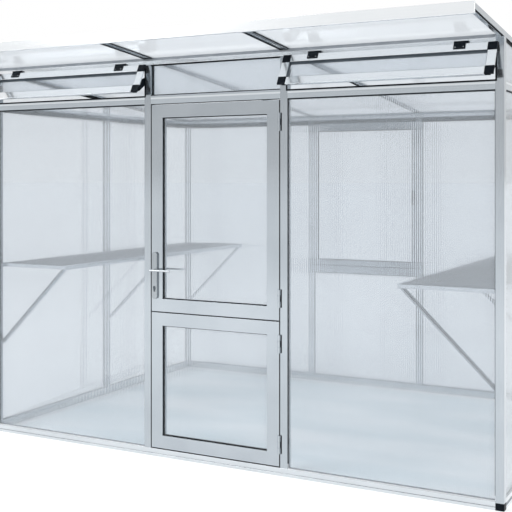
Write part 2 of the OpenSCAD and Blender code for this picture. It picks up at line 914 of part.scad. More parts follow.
module lower_gasket() {
    color("Black") placed() leaf_gasket(lower_bottom, lower_top);
}

module lower_pane() {
    color("Azure") placed() leaf_glass(lower_bottom, lower_top);
}

module lower_hinges() {
    color("Silver") placed() leaf_hinges(lower_bottom, lower_top);
}

corner_shoes();
base_rails();
floor_panel();
corner_posts();
door_posts();
wall_posts();
ring_beam();
front_header();
rear_eave();
gable_rafters();
inner_rafters();
rafter_gaskets();
rafter_caps();
roof_edges();
roof_sheets();
roof_seals();
front_sheets();
side_sheets();
gable_sheets();
rear_sheets();
sheet_gaskets();
door_top_pane();
window_rail();
window_sash();
window_pane();
window_handle();
vent_frames();
vent_corners();
vent_panes();
vent_gaskets();
vent_hinges();
vent_stays();
shelf_tops();
shelf_rims();
shelf_bearers();
shelf_struts();
post_hinges();
upper_frame();
upper_gasket();
upper_pane();
upper_hinges();
lock_plates();
lever_handle();
lower_frame();
lower_gasket();
lower_pane();
lower_hinges();
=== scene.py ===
"""Looks of the mono-pitch greenhouse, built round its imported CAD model."""

import math

import bmesh
import bpy
from mathutils import Matrix, Vector


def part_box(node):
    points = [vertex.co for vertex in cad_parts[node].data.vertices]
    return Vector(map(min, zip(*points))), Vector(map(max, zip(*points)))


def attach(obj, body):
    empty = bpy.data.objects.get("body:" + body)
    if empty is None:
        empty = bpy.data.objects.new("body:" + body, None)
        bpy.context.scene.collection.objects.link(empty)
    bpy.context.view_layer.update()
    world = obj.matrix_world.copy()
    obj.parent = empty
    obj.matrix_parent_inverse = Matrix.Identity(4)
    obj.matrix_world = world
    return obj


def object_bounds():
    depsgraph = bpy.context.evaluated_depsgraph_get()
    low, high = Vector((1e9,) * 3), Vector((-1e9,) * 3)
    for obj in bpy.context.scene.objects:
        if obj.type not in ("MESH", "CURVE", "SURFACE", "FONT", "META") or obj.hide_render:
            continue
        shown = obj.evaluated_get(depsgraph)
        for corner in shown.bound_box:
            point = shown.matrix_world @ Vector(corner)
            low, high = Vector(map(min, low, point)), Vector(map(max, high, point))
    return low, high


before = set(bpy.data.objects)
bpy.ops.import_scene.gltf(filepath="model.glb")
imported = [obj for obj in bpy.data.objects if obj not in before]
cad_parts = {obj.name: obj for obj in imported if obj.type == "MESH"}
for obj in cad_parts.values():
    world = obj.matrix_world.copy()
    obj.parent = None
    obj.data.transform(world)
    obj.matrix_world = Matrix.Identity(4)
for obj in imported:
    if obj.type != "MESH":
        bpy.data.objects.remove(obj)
cad_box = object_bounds()
MM = 0.001
SIDEWAYS, REARWARD, UP = Vector((1, 0, 0)), Vector((0, 1, 0)), Vector((0, 0, 1))
HOUSE_AXES = (SIDEWAYS, REARWARD, UP)

# Camera: a level view with the shift of an architectural photograph
CAMERA_PLACE = (2.6443, -5.4254, 1.5632)
CAMERA_YAW = 27.715
CAMERA_LENS = 67.526
CAMERA_SENSOR = 36
CAMERA_SHIFT = -0.151

# Studio: strengths of the world and of the ground's glow by kind of ray, and the lamps
WORLD_LIGHT = 0.94
GLOW_FOR_LIGHT = 0.25
GLOW_SEEN = 0.5
# Added in mirror images that no sheet bends
GLOW_MIRRORED = 0.55
# Added behind bending sheets, where the ground would else outshine the world
GLOW_THROUGH = -0.085
GROUND_REACH = 300
GROUND_DROP = 0.5 * MM
LAMP_SIZE = 5
LAMP_TARGET = Vector((0, 0, 1))

# Twin-wall sheet: its section, and how the fillets of its ribs bend the view
SKIN = 0.7 * MM
RIB = 0.6 * MM
RIB_END = 1 * MM
WALL_PITCH = 10.7 * MM
ROOF_PITCH = 16 * MM
SHEET_IOR = 1.12
# The weakest rib's share of its sheet's lens
LEAST_LENS = 0.7
# The bend met straight on, its growth towards a slanted view, and its limit
BEND_STRAIGHT, BEND_GROWTH, BEND_MOST = 0.45, 4, 1.5
LEAST_MIRROR, MIRROR_POWER = 0.03, 5

# Share of the drawing marks in the tone of metal; the clouds have the rest
MARKS_SHARE = 0.45
METAL_EDGE = 2.5 * MM
PLASTIC_EDGE = 1.5 * MM
# Reflection of plastic and rubber
DULL = 0.06

# Bands of painted highlight and painted shade: the height that their ramp spans, and how far inside the
# posts' faces the inner bands start
BAND_SPAN = 2.5
OUTER = 12 * MM
# Pale border of the floor along the walls, a painted reflection
BORDER = 80 * MM
BORDER_PAINTED_REFLECTION = (0.96, 0.965, 0.97)

# Seals: thickness, distance behind the leaf's faces, end of the shallow ones, and the window's strips
SOFT_EDGE = 0.3 * MM
SEAL = 1 * MM
SEAL_SET = 1.5 * MM
SHALLOW_END = 12 * MM
SASH_LAP = 2 * MM
WINDOW_STRIP = 4 * MM
# How far the window pane reaches into its sash
HOLD = 10 * MM
# Painted shade in grooves: its lift off the groove floor and its thickness
SHADE_SHEET_LIFT, SHADE_SHEET_THICKNESS = 0.1 * MM, 0.5 * MM


# ---------------------------------------------------------------- shader nodes
def new_material(name):
    """A material with an empty node tree but for its output."""
    mat = bpy.data.materials.new(name)
    mat.use_nodes = True
    nodes = mat.node_tree.nodes
    nodes.clear()
    out = nodes.new("ShaderNodeOutputMaterial")
    return mat, nodes, mat.node_tree.links, out


def new_node(nodes, kind, **values):
    """A node with some of its inputs set; an underscore stands for a space in an input's name."""
    node = nodes.new("ShaderNode" + kind)
    for name, value in values.items():
        node.inputs[name.replace("_", " ")].default_value = value
    return node


def math_node(nodes, links, operation, *values):
    """One math node; each value is a number or a socket."""
    node = nodes.new("ShaderNodeMath")
    node.operation = operation
    for socket, value in zip(node.inputs, values):
        if isinstance(value, (int, float)):
            socket.default_value = value
        else:
            links.new(value, socket)
    return node.outputs[0]


def mix_shaders(nodes, links, factor, first, second):
    """Two shader nodes mixed by a number or a socket."""
    mix = nodes.new("ShaderNodeMixShader")
    if isinstance(factor, (int, float)):
        mix.inputs["Fac"].default_value = factor
    else:
        links.new(factor, mix.inputs["Fac"])
    links.new(first.outputs[0], mix.inputs[1])
    links.new(second.outputs[0], mix.inputs[2])
    return mix


def coordinates(nodes, links, scale=(1, 1, 1)):
    """Object coordinates, stretched by scale."""
    coord = nodes.new("ShaderNodeTexCoord")
    mapping = new_node(nodes, "Mapping", Scale=scale)
    links.new(coord.outputs["Object"], mapping.inputs["Vector"])
    return mapping.outputs["Vector"]


def split_coordinates(nodes, links):
    """Object coordinates as the sockets X, Y and Z."""
    coord = nodes.new("ShaderNodeTexCoord")
    split = nodes.new("ShaderNodeSeparateXYZ")
    links.new(coord.outputs["Object"], split.inputs[0])
    return split.outputs


def noise(nodes, links, vector, scale, detail=3.0, rough=0.5):
    """Soft noise between 0 and 1."""
    tex = new_node(nodes, "TexNoise", Scale=scale, Detail=detail, Roughness=rough)
    links.new(vector, tex.inputs["Vector"])
    return tex.outputs["Fac"]


def blend_colours(nodes, links, factor, dark, light, low=0.3, high=0.7):
    """A ramp between two colours."""
    ramp = nodes.new("ShaderNodeValToRGB")
    ramp.color_ramp.elements[0].position = low
    ramp.color_ramp.elements[1].position = high
    ramp.color_ramp.elements[0].color = (*dark, 1)
    ramp.color_ramp.elements[1].color = (*light, 1)
    links.new(factor, ramp.inputs["Fac"])
    return ramp.outputs["Color"]


def mix_colours(nodes, links, factor, first, second):
    """Two colours mixed by a socket; the second is a socket or three numbers."""
    mix = nodes.new("ShaderNodeMix")
    mix.data_type = "RGBA"
    first_socket, second_socket, result = mix.inputs[6], mix.inputs[7], mix.outputs[2]
    links.new(factor, mix.inputs["Factor"])
    links.new(first, first_socket)
    if isinstance(second, tuple):
        second_socket.default_value = (*second, 1)
    else:
        links.new(second, second_socket)
    return result


def spread_value(nodes, links, factor, low, high):
    """A factor between 0 and 1 mapped to a range."""
    mapped = new_node(nodes, "MapRange", To_Min=low, To_Max=high)
    links.new(factor, mapped.inputs["Value"])
    return mapped.outputs["Result"]


def bump(nodes, links, height, distance, strength=0.5, radius=None):
    """A bump, over edges rounded to radius."""
    node = new_node(nodes, "Bump", Distance=distance, Strength=strength)
    links.new(height, node.inputs["Height"])
    if radius:
        bevel = new_node(nodes, "Bevel", Radius=radius)
        bevel.samples = 4
        links.new(bevel.outputs["Normal"], node.inputs["Normal"])
    return node.outputs["Normal"]


def paler(colour):
    """A slightly paler tone of a colour."""
    return [min(1, c * 1.06) for c in colour]


# ---------------------------------------------------------------- materials
def metal(name, dark, light, rough, metallic, grain=(60, 60, 60)):
    """Satin metal: drawing marks along the profile, a soft cloud in the tone and rounded edges."""
    mat, nodes, links, out = new_material(name)
    bsdf = new_node(nodes, "BsdfPrincipled", Metallic=metallic)
    marks = noise(nodes, links, coordinates(nodes, links, grain), 6, 4)
    clouds = noise(nodes, links, coordinates(nodes, links), 3.5, 2)
    tone = math_node(nodes, links, "MULTIPLY_ADD", marks, MARKS_SHARE,
                     spread_value(nodes, links, clouds, 0, 1 - MARKS_SHARE))
    roughness = spread_value(nodes, links, marks, rough - 0.03, rough + 0.04)
    links.new(blend_colours(nodes, links, tone, dark, light), bsdf.inputs["Base Color"])
    links.new(roughness, bsdf.inputs["Roughness"])
    links.new(bump(nodes, links, marks, 0.1 * MM, 0.25, METAL_EDGE), bsdf.inputs["Normal"])
    links.new(bsdf.outputs["BSDF"], out.inputs["Surface"])
    return mat


def plastic(name, dark, light, rough):
    """Moulded plastic or rubber with a fine grain."""
    mat, nodes, links, out = new_material(name)
    bsdf = new_node(nodes, "BsdfPrincipled", Specular_IOR_Level=DULL)
    vector = coordinates(nodes, links)
    grain = noise(nodes, links, vector, 900, 2)
    broad = noise(nodes, links, vector, 18, 3)
    roughness = spread_value(nodes, links, broad, rough - 0.07, rough + 0.07)
    links.new(blend_colours(nodes, links, broad, dark, light), bsdf.inputs["Base Color"])
    links.new(roughness, bsdf.inputs["Roughness"])
    links.new(bump(nodes, links, grain, 0.05 * MM, 0.4, PLASTIC_EDGE), bsdf.inputs["Normal"])
    links.new(bsdf.outputs["BSDF"], out.inputs["Surface"])
    return mat


def sheet_body(nodes, links, body, rough, spread):
    """The solid part of a sheet, softly clouded along its height, with its clouds."""
    bsdf = nodes.new("ShaderNodeBsdfPrincipled")
    clouds = noise(nodes, links, coordinates(nodes, links, (1, 1, 0.25)), 1.6, 2)
    links.new(blend_colours(nodes, links, clouds, body, paler(body)), bsdf.inputs["Base Color"])
    links.new(spread_value(nodes, links, clouds, rough, rough + spread), bsdf.inputs["Roughness"])
    return bsdf, clouds


def facing(nodes):
    """A socket that grows from 0, met straight on, to 1 at a grazing view."""
    return new_node(nodes, "LayerWeight", Blend=0.5).outputs["Facing"]


def pane(name, tint, body, share, rough, grow):
    """See-through sheet: a share of pale body and a mirror that grows at a slant, the rest clear."""
    mat, nodes, links, out = new_material(name)
    bsdf, clouds = sheet_body(nodes, links, body, rough, 0.05)
    links.new(bump(nodes, links, clouds, 0.4 * MM, 0.1), bsdf.inputs["Normal"])
    clear = new_node(nodes, "BsdfTransparent", Color=(*tint, 1))
    slant = math_node(nodes, links, "POWER", facing(nodes), grow)
    mix = mix_shaders(nodes, links, spread_value(nodes, links, slant, share, 1), clear, bsdf)
    links.new(mix.outputs["Shader"], out.inputs["Surface"])
    return mat


def ribbed_normal(nodes, links, axis, pitch, lens, slanted):
    """The sheet's normal, tilted along an axis near each rib where the sheet is entered."""
    cells = math_node(nodes, links, "DIVIDE", split_coordinates(nodes, links)[axis], pitch)
    within = math_node(nodes, links, "FRACT", cells)
    across = math_node(nodes, links, "MULTIPLY_ADD", within, 2, -1)
    away = math_node(nodes, links, "ABSOLUTE", across)
    outer_half = math_node(nodes, links, "MULTIPLY_ADD", away, 2, -1)
    curved = math_node(nodes, links, "MAXIMUM", outer_half, 0)
    signed = math_node(nodes, links, "MULTIPLY", curved, math_node(nodes, links, "SIGN", across))
    chance = nodes.new("ShaderNodeTexWhiteNoise")
    chance.noise_dimensions = "1D"
    links.new(math_node(nodes, links, "FLOOR", cells), chance.inputs["W"])
    uneven = spread_value(nodes, links, chance.outputs["Value"], LEAST_LENS * lens, lens)
    met = math_node(nodes, links, "MULTIPLY_ADD", slanted, BEND_GROWTH, BEND_STRAIGHT)
    bent = math_node(nodes, links, "MULTIPLY", uneven,
                     math_node(nodes, links, "MINIMUM", met, BEND_MOST))
    geometry = nodes.new("ShaderNodeNewGeometry")
    entered = math_node(nodes, links, "SUBTRACT", 1, geometry.outputs["Backfacing"])
    slope = math_node(nodes, links, "MULTIPLY",
                      math_node(nodes, links, "MULTIPLY", signed, bent), entered)
    lean = nodes.new("ShaderNodeCombineXYZ")
    links.new(slope, lean.inputs[axis])
    added = nodes.new("ShaderNodeVectorMath")
    added.operation = "ADD"
    links.new(geometry.outputs["Normal"], added.inputs[0])
    links.new(lean.outputs[0], added.inputs[1])
    unit = nodes.new("ShaderNodeVectorMath")
    unit.operation = "NORMALIZE"
    links.new(added.outputs[0], unit.inputs[0])
    return unit.outputs[0]


def twin_wall(name, axis, pitch, tint, body, share=0.13, lens=1.1, mirror=0.9, milk=0.35):
    """Twin-wall sheet, whose ribs bend the view sideways, so that what stands behind looks fluted.

    It bends light only for what is seen through it. Shadows and soft light pass straight."""
    mat, nodes, links, out = new_material(name)
    bsdf, _ = sheet_body(nodes, links, body, 0.1, 0.06)
    slanted = facing(nodes)
    through = new_node(nodes, "BsdfRefraction", Color=(*tint, 1), Roughness=0.0, IOR=SHEET_IOR)
    normal = ribbed_normal(nodes, links, axis, pitch, lens, slanted)
    links.new(normal, through.inputs["Normal"])
    glow = new_node(nodes, "BsdfTranslucent", Color=(*body, 1))
    milky = mix_shaders(nodes, links, milk, bsdf, glow)
    filled = mix_shaders(nodes, links, share, through, milky)
    gloss = new_node(nodes, "BsdfAnisotropic", Color=(0.94, 0.96, 0.97, 1), Roughness=0.08)
    slant = math_node(nodes, links, "POWER", slanted, MIRROR_POWER)
    mirrored = math_node(nodes, links, "MULTIPLY_ADD", slant, mirror, LEAST_MIRROR)
    seen = mix_shaders(nodes, links, mirrored, filled, gloss)
    clear = new_node(nodes, "BsdfTransparent", Color=(*tint, 1))
    path = nodes.new("ShaderNodeLightPath")
    unseen = math_node(nodes, links, "MAXIMUM",
                       path.outputs["Is Shadow Ray"], path.outputs["Is Diffuse Ray"])
    lit = mix_shaders(nodes, links, unseen, seen, clear)
    links.new(lit.outputs["Shader"], out.inputs["Surface"])
    return mat


def light_and_shade_bands(name, rough, metallic, bands, inner):
    """A satin finish in bands of (lowest height, colour) that paint highlights and shade, with other bands on
    the faces inside the house.
    """
    mat, nodes, links, out = new_material(name)
    bsdf = new_node(nodes, "BsdfPrincipled", Metallic=metallic,
                    Specular_IOR_Level=0.5 if metallic else DULL)
    spot = split_coordinates(nodes, links)
    clouds = noise(nodes, links, coordinates(nodes, links, (6, 6, 6)), 4, 3)
    height = math_node(nodes, links, "DIVIDE", spot["Z"], BAND_SPAN)
    tones = []
    for stops in (bands, inner):
        ramp = nodes.new("ShaderNodeValToRGB")
        ramp.color_ramp.interpolation = "CONSTANT"
        ramp.color_ramp.elements[0].color = (*stops[0][1], 1)
        for low, colour in stops[1:]:
            ramp.color_ramp.elements.new(low / BAND_SPAN).color = (*colour, 1)
        ramp.color_ramp.elements.remove(ramp.color_ramp.elements[-1])
        links.new(height, ramp.inputs["Fac"])
        tones.append(ramp.outputs["Color"])
    posts_low, posts_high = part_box("corner_posts")
    sideways = math_node(nodes, links, "ABSOLUTE", spot["X"])
    inside = math_node(nodes, links, "LESS_THAN", sideways, posts_high[0] - OUTER)
    behind = math_node(nodes, links, "GREATER_THAN", spot["Y"], posts_low[1] + OUTER)
    both = math_node(nodes, links, "MULTIPLY", inside, behind)
    roughness = spread_value(nodes, links, clouds, rough - 0.04, rough + 0.05)
    links.new(mix_colours(nodes, links, both, *tones), bsdf.inputs["Base Color"])
    links.new(roughness, bsdf.inputs["Roughness"])
    links.new(bump(nodes, links, clouds, 0.1 * MM, 0.25, 1 * MM), bsdf.inputs["Normal"])
    links.new(bsdf.outputs["BSDF"], out.inputs["Surface"])
    return mat


def floor_material(name, dark, light):
    """Pale floor panel with soft drifting clouds in its satin finish and a paler border at the walls, which
    is a painted reflection.
    """
    mat, nodes, links, out = new_material(name)
    bsdf = nodes.new("ShaderNodeBsdfPrincipled")
    clouds = noise(nodes, links, coordinates(nodes, links, (0.55, 1.6, 1)), 1.7, 3, 0.45)
    grain = noise(nodes, links, coordinates(nodes, links), 220, 2)
    _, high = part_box("floor_panel")
    spot = split_coordinates(nodes, links)
    sideways = math_node(nodes, links, "ABSOLUTE", spot["X"])
    beside = math_node(nodes, links, "SUBTRACT", high.x, sideways)
    behind = math_node(nodes, links, "SUBTRACT", high.y, spot["Y"])
    border = new_node(nodes, "MapRange", From_Min=0.5 * BORDER, From_Max=BORDER, To_Min=1, To_Max=0)
    links.new(math_node(nodes, links, "MINIMUM", beside, behind), border.inputs["Value"])
    clouded = blend_colours(nodes, links, clouds, dark, light, 0.36, 0.66)
    colour = mix_colours(nodes, links, border.outputs["Result"], clouded, BORDER_PAINTED_REFLECTION)
    links.new(colour, bsdf.inputs["Base Color"])
    links.new(spread_value(nodes, links, clouds, 0.28, 0.45), bsdf.inputs["Roughness"])
    links.new(bump(nodes, links, grain, 0.1 * MM, 0.2), bsdf.inputs["Normal"])
    links.new(bsdf.outputs["BSDF"], out.inputs["Surface"])
    return mat


ALONG_X = (1.5, 90, 90)
ALONG_Y = (90, 1.5, 90)
ALONG_Z = (90, 90, 1.5)
ALU_DARK, ALU_LIGHT = (0.34, 0.373, 0.402), (0.42, 0.453, 0.483)
alu = metal("aluminium_mixed", ALU_DARK, ALU_LIGHT, 0.12, 0.9)
alu_x = metal("aluminium_along_x", ALU_DARK, ALU_LIGHT, 0.12, 0.9, ALONG_X)
alu_y = metal("aluminium_along_y", ALU_DARK, ALU_LIGHT, 0.12, 0.9, ALONG_Y)
alu_z = metal("aluminium_along_z", ALU_DARK, ALU_LIGHT, 0.12, 0.9, ALONG_Z)
# The base rails are painted paler than the other aluminium: a painted reflection of the bright ground
base_alu_painted_reflection = metal("aluminium_base_painted_reflection", (0.50, 0.53, 0.555), (0.58, 0.61, 0.635), 0.14, 0.8)
rim_alu = metal("aluminium_rims", (0.56, 0.595, 0.63), (0.64, 0.67, 0.70), 0.14, 0.85, ALONG_Y)
pale = metal("pale_profile_finish", (0.75, 0.775, 0.795), (0.81, 0.83, 0.845), 0.12, 0.8, ALONG_X)
lock_steel = metal("lock_satin_steel", (0.40, 0.42, 0.44), (0.50, 0.52, 0.54), 0.2, 0.9, ALONG_Z)
plate_steel = metal("lock_plate_steel", (0.28, 0.305, 0.325), (0.35, 0.375, 0.395), 0.22, 0.9,
                    ALONG_Z)
shelf_sheet = metal("shelf_grey_sheet", (0.115, 0.13, 0.145), (0.155, 0.17, 0.19), 0.5, 0.25,
                    ALONG_Y)
black = plastic("black_moulding", (0.003, 0.005, 0.008), (0.007, 0.010, 0.014), 0.4)
rubber = plastic("black_gasket", (0.008, 0.009, 0.011), (0.016, 0.018, 0.02), 0.6)
# Dark grey for the vents' gaskets, where it is painted shade of the inner reveal under the vents' top rails,
# and for the face of the lock cylinder
dark_grey_and_painted_shade = plastic("dark_grey_and_painted_shade", (0.08, 0.096, 0.11), (0.11, 0.128, 0.145), 0.3)
seal_grey = plastic("grey_strip", (0.22, 0.24, 0.26), (0.28, 0.3, 0.32), 0.6)

beam_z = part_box("ring_beam")[0][2]
# Heights at which the wall gaskets turn from a pale painted highlight at their foot to black, and then to a
# deeper black of painted shade under the beam
FOOT_END, beam_shade = 0.06, beam_z - 8 * MM
# The wall gaskets are black, with painted light on them: a pale painted highlight at their foot, painted
# shade under the beam, and a painted dark grey on their faces inside the house
wall_gasket_painted_light = light_and_shade_bands(
    "wall_gasket_painted_light", 0.5, 0.0,
    [(0, (0.80, 0.82, 0.84)), (FOOT_END, (0.03, 0.035, 0.04)),
     (beam_shade, (0.006, 0.008, 0.010))],
    [(0, (0.13, 0.15, 0.17)), (beam_shade, (0.010, 0.012, 0.015))])
# The ring beam's aluminium carries painted light: a pale painted highlight line across its outer face, and on
# its faces inside the house painted shade on the lower part and a painted reflection on the upper part
beam_alu_painted_light = light_and_shade_bands(
    "aluminium_beam_painted_light", 0.14, 0.9,
    [(0, (0.445, 0.487, 0.522)), (beam_z + 26 * MM, (0.62, 0.66, 0.69)),
     (beam_z + 31 * MM, (0.42, 0.455, 0.49))],
    [(0, (0.06, 0.075, 0.09)), (beam_z + 22 * MM, (0.66, 0.70, 0.735))])

CLEARER, DEEPER = (0.942, 0.951, 0.960), (0.852, 0.869, 0.887)
SHEET_BODY, ROOF_BODY = (0.76, 0.80, 0.835), (0.82, 0.845, 0.87)
twin_front = twin_wall("twin_wall_front", "X", WALL_PITCH, CLEARER, SHEET_BODY, lens=1.3)
twin_x = twin_wall("twin_wall_across_x", "X", WALL_PITCH, DEEPER, SHEET_BODY, lens=0.5)
twin_y = twin_wall("twin_wall_across_y", "Y", WALL_PITCH, (0.900, 0.911, 0.922), SHEET_BODY,
                   lens=0.5)
twin_roof = twin_wall("twin_wall_roof", "X", ROOF_PITCH, (0.92, 0.935, 0.95), ROOF_BODY,
                      share=0.5, lens=0.12, mirror=0.25, milk=0.6)
twin_door = twin_wall("twin_wall_door", "X", WALL_PITCH, (0.943, 0.953, 0.962), SHEET_BODY,
                      lens=1.2)
twin_top = twin_wall("twin_wall_top", "X", WALL_PITCH, (0.89, 0.905, 0.92), SHEET_BODY)
rib_clear = pane("twin_wall_rib", (0.997, 0.998, 0.999), (0.66, 0.70, 0.74), 0.008, 0.1, 16)
floor_finish = floor_material("floor_panel_finish", (0.70, 0.80, 0.845), (0.92, 0.96, 0.98))

FINISHES = {
    "corner_shoes": black, "base_rails": base_alu_painted_reflection, "floor_panel": floor_finish,
    "corner_posts": alu_z, "door_posts": alu_z, "wall_posts": alu_z, "ring_beam": beam_alu_painted_light,
    "front_header": pale, "rear_eave": alu_x, "gable_rafters": alu_y, "inner_rafters": alu_y,
    "rafter_caps": alu_y, "roof_edges": pale, "roof_sheets": twin_roof, "roof_seals": seal_grey,
    "front_sheets": twin_front, "side_sheets": twin_y, "gable_sheets": twin_y,
    "rear_sheets": twin_x, "sheet_gaskets": wall_gasket_painted_light, "door_top_pane": twin_top,
    "rafter_gaskets": rubber, "vent_gaskets": dark_grey_and_painted_shade, "window_rail": alu_x,
    "window_sash": alu, "window_pane": twin_x, "window_handle": black, "vent_frames": pale,
    "vent_corners": black, "vent_panes": twin_top, "vent_hinges": black, "vent_stays": black,
    "shelf_tops": shelf_sheet, "shelf_rims": rim_alu, "shelf_bearers": rim_alu,
    "shelf_struts": alu, "post_hinges": alu_z, "upper_frame": alu, "upper_gasket": rubber,
    "upper_pane": twin_door, "upper_hinges": alu_z, "lock_plates": plate_steel,
    "lever_handle": lock_steel, "lower_frame": alu, "lower_gasket": rubber,
    "lower_pane": twin_door, "lower_hinges": alu_z,
}
for node, finish in FINISHES.items():
    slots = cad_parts[node].data.materials
    slots.clear()
    slots.append(finish)


# ---------------------------------------------------------------- pieces
def piece(name, mesh, material, body="house"):
    """A finished piece of the scene that rides on a body."""
    data = bpy.data.meshes.new(name)
    mesh.to_mesh(data)
    mesh.free()
    obj = bpy.data.objects.new(name, data)
    bpy.context.scene.collection.objects.link(obj)
    data.materials.append(material)
    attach(obj, body)
    return obj


def welded(node):
    """The mesh of a CAD node with its doubled corners joined."""
    mesh = bmesh.new()
    mesh.from_mesh(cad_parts[node].data)
    bmesh.ops.remove_doubles(mesh, verts=mesh.verts, dist=1e-6)
    return mesh


def islands(node):
    """The separate solids of a CAD node, each as its corner points and its widest face's normal."""
    mesh = welded(node)
    left = set(mesh.verts)
    found = []
    while left:
        queue = [left.pop()]
        group = set(queue)
        while queue:
            for edge in queue.pop().link_edges:
                for vert in edge.verts:
                    if vert in left:
                        left.discard(vert)
                        group.add(vert)
                        queue.append(vert)
        faces = {face for vert in group for face in vert.link_faces}
        widest = max(faces, key=lambda face: face.calc_area())
        found.append(([vert.co.copy() for vert in group], widest.normal.copy()))
    mesh.free()
    return found


def add_box(mesh, centre, axes, size):
    """A box of a size on three axes."""
    turn = Matrix((axes[0], axes[1], axes[2])).transposed().to_4x4()
    place = Matrix.Translation(centre) @ turn @ Matrix.Diagonal((*size, 1))
    bmesh.ops.create_cube(mesh, size=1, matrix=place)


def soften(mesh):
    """Rounds the edges of small strips."""
    bmesh.ops.bevel(mesh, geom=mesh.edges[:], offset=SOFT_EDGE, segments=2, affect="EDGES")


def pull_forward(mesh, faces, by):
    """Draws faces out towards the front."""
    grown = bmesh.ops.extrude_face_region(mesh, geom=faces)
    moved = [part for part in grown["geom"] if isinstance(part, bmesh.types.BMVert)]
    bmesh.ops.translate(mesh, verts=moved, vec=(0, -by, 0))
    bmesh.ops.recalc_face_normals(mesh, faces=mesh.faces)


# ---------------------------------------------------------------- ribs
def section(points, across, along, at):
    """Lowest and highest reach along a slab's length, at one place across it."""
    flat = sorted({(round(p.dot(across), 6), round(p.dot(along), 6)) for p in points})
    reach = []
    for a in flat:
        for b in flat:
            if a[0] < at < b[0]:
                part = (at - a[0]) / (b[0] - a[0])
                reach.append(a[1] + part * (b[1] - a[1]))
    return (min(reach), max(reach)) if reach else None


def ribs(name, node, length_axis, pitch):
    """The ribs between the two skins of each sheet in a node."""
    mesh = bmesh.new()
    for points, normal in islands(node):
        along = (length_axis - normal * length_axis.dot(normal)).normalized()
        across = normal.cross(along)
        low, high = [f(p.dot(across) for p in points) for f in (min, max)]
        near, far = [f(p.dot(normal) for p in points) for f in (min, max)]
        first, last = math.ceil((low + RIB) / pitch), math.floor((high - RIB) / pitch)
        for i in range(first, last + 1):
            at = i * pitch
            reach = section(points, across, along, at)
            if not reach or reach[1] - reach[0] < 10 * RIB_END:
                continue
            start, end = reach[0] + RIB_END, reach[1] - RIB_END
            centre = across * at + normal * (near + far) / 2 + along * (start + end) / 2
            size = (RIB, far - near - 2 * SKIN, end - start)
            add_box(mesh, centre, (across, normal, along), size)
    return piece(name, mesh, rib_clear)


ribs("front_sheet_ribs", "front_sheets", UP, WALL_PITCH)
ribs("side_sheet_ribs", "side_sheets", UP, WALL_PITCH)
ribs("rear_sheet_ribs", "rear_sheets", UP, WALL_PITCH)
ribs("gable_sheet_ribs", "gable_sheets", UP, WALL_PITCH)
ribs("door_top_pane_ribs", "door_top_pane", UP, WALL_PITCH)
ribs("window_pane_ribs", "window_pane", UP, WALL_PITCH)
ribs("vent_pane_ribs", "vent_panes", UP, WALL_PITCH)
ribs("roof_sheet_ribs", "roof_sheets", REARWARD, ROOF_PITCH)


# ---------------------------------------------------------------- seals in the gaps round the leaves
def seal(name, body, *boxes):
    """Black sealing strips, each given by its lowest and highest corner."""
    mesh = bmesh.new()
    for low, high in boxes:
        middle = Vector([(a + b) / 2 for a, b in zip(low, high)])
        add_box(mesh, middle, HOUSE_AXES, [b - a for a, b in zip(low, high)])
    soften(mesh)
    return piece(name, mesh, rubber, body)


leaf_low, leaf_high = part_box("lower_frame")
upper_low, upper_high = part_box("upper_frame")
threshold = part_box("door_posts")[0].z
beam_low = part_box("ring_beam")[0].z
door_gap = leaf_low.z - threshold
left_face, right_face = leaf_low.x - door_gap, leaf_high.x + door_gap
shallow = (leaf_low.y + SEAL_SET, leaf_low.y + SHALLOW_END)
deep = (leaf_low.y + SEAL_SET, leaf_high.y - SEAL_SET)
seal("post_seal", "house",
     ((left_face, shallow[0], threshold), (left_face + SEAL, shallow[1], beam_low)))
seal("frame_seals", "house",
     ((left_face + SEAL, deep[0], threshold), (right_face, deep[1], threshold + SEAL)),
     ((left_face + SEAL, deep[0], beam_low - SEAL), (right_face, deep[1], beam_low)))
seal("lower_leaf_seals", "lower_leaf",
     ((leaf_high.x, shallow[0], leaf_low.z), (leaf_high.x + SEAL, shallow[1], leaf_high.z)),
     ((leaf_low.x, deep[0], leaf_high.z), (leaf_high.x, deep[1], leaf_high.z + SEAL)))
seal("upper_leaf_seal", "upper_leaf",
     ((upper_high.x, shallow[0], upper_low.z), (upper_high.x + SEAL, shallow[1], upper_high.z)))


def frame_of_strips(low, high, y, width):
    """Four strips round an upright rectangle, inside its outline."""
    return (((low[0], y[0], low[1]), (high[0], y[1], low[1] + width)),
            ((low[0], y[0], high[1] - width), (high[0], y[1], high[1])),
            ((low[0], y[0], low[1] + width), (low[0] + width, y[1], high[1] - width)),
            ((high[0] - width, y[0], low[1] + width), (high[0], y[1], high[1] - width)))


sash_low, sash_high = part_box("window_sash")
pane_low, pane_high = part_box("window_pane")
seal("window_seals", "house",
     *frame_of_strips((sash_low.x - SASH_LAP, sash_low.z - SASH_LAP),
                      (sash_high.x + SASH_LAP, sash_high.z + SASH_LAP),
                      (sash_low.y - SEAL, sash_low.y), WINDOW_STRIP),
     *frame_of_strips((pane_low.x + HOLD, pane_low.z + HOLD),
                      (pane_high.x - HOLD, pane_high.z - HOLD),
                      (pane_low.y - SEAL_SET, pane_low.y), WINDOW_STRIP))


# ---------------------------------------------------------------- painted shade in grooves
def groove_shade_sheet(name, node, depth, slack):
    """Thin black sheets of painted shade on the floors of the grooves that lie about so deep in a node's
    front faces.
    """
    mesh = welded(node)
    fronts = [min(p.y for p in points) for points, _ in islands(node)]
    others = [face for face in mesh.faces if face.normal.y >= -0.99
              or all(abs(face.calc_center_median().y - y - depth) >= slack for y in fronts)]
    bmesh.ops.delete(mesh, geom=others, context="FACES")
    bmesh.ops.translate(mesh, verts=mesh.verts, vec=(0, -SHADE_SHEET_LIFT, 0))
    pull_forward(mesh, mesh.faces[:], SHADE_SHEET_THICKNESS)
    return piece(name, mesh, rubber)


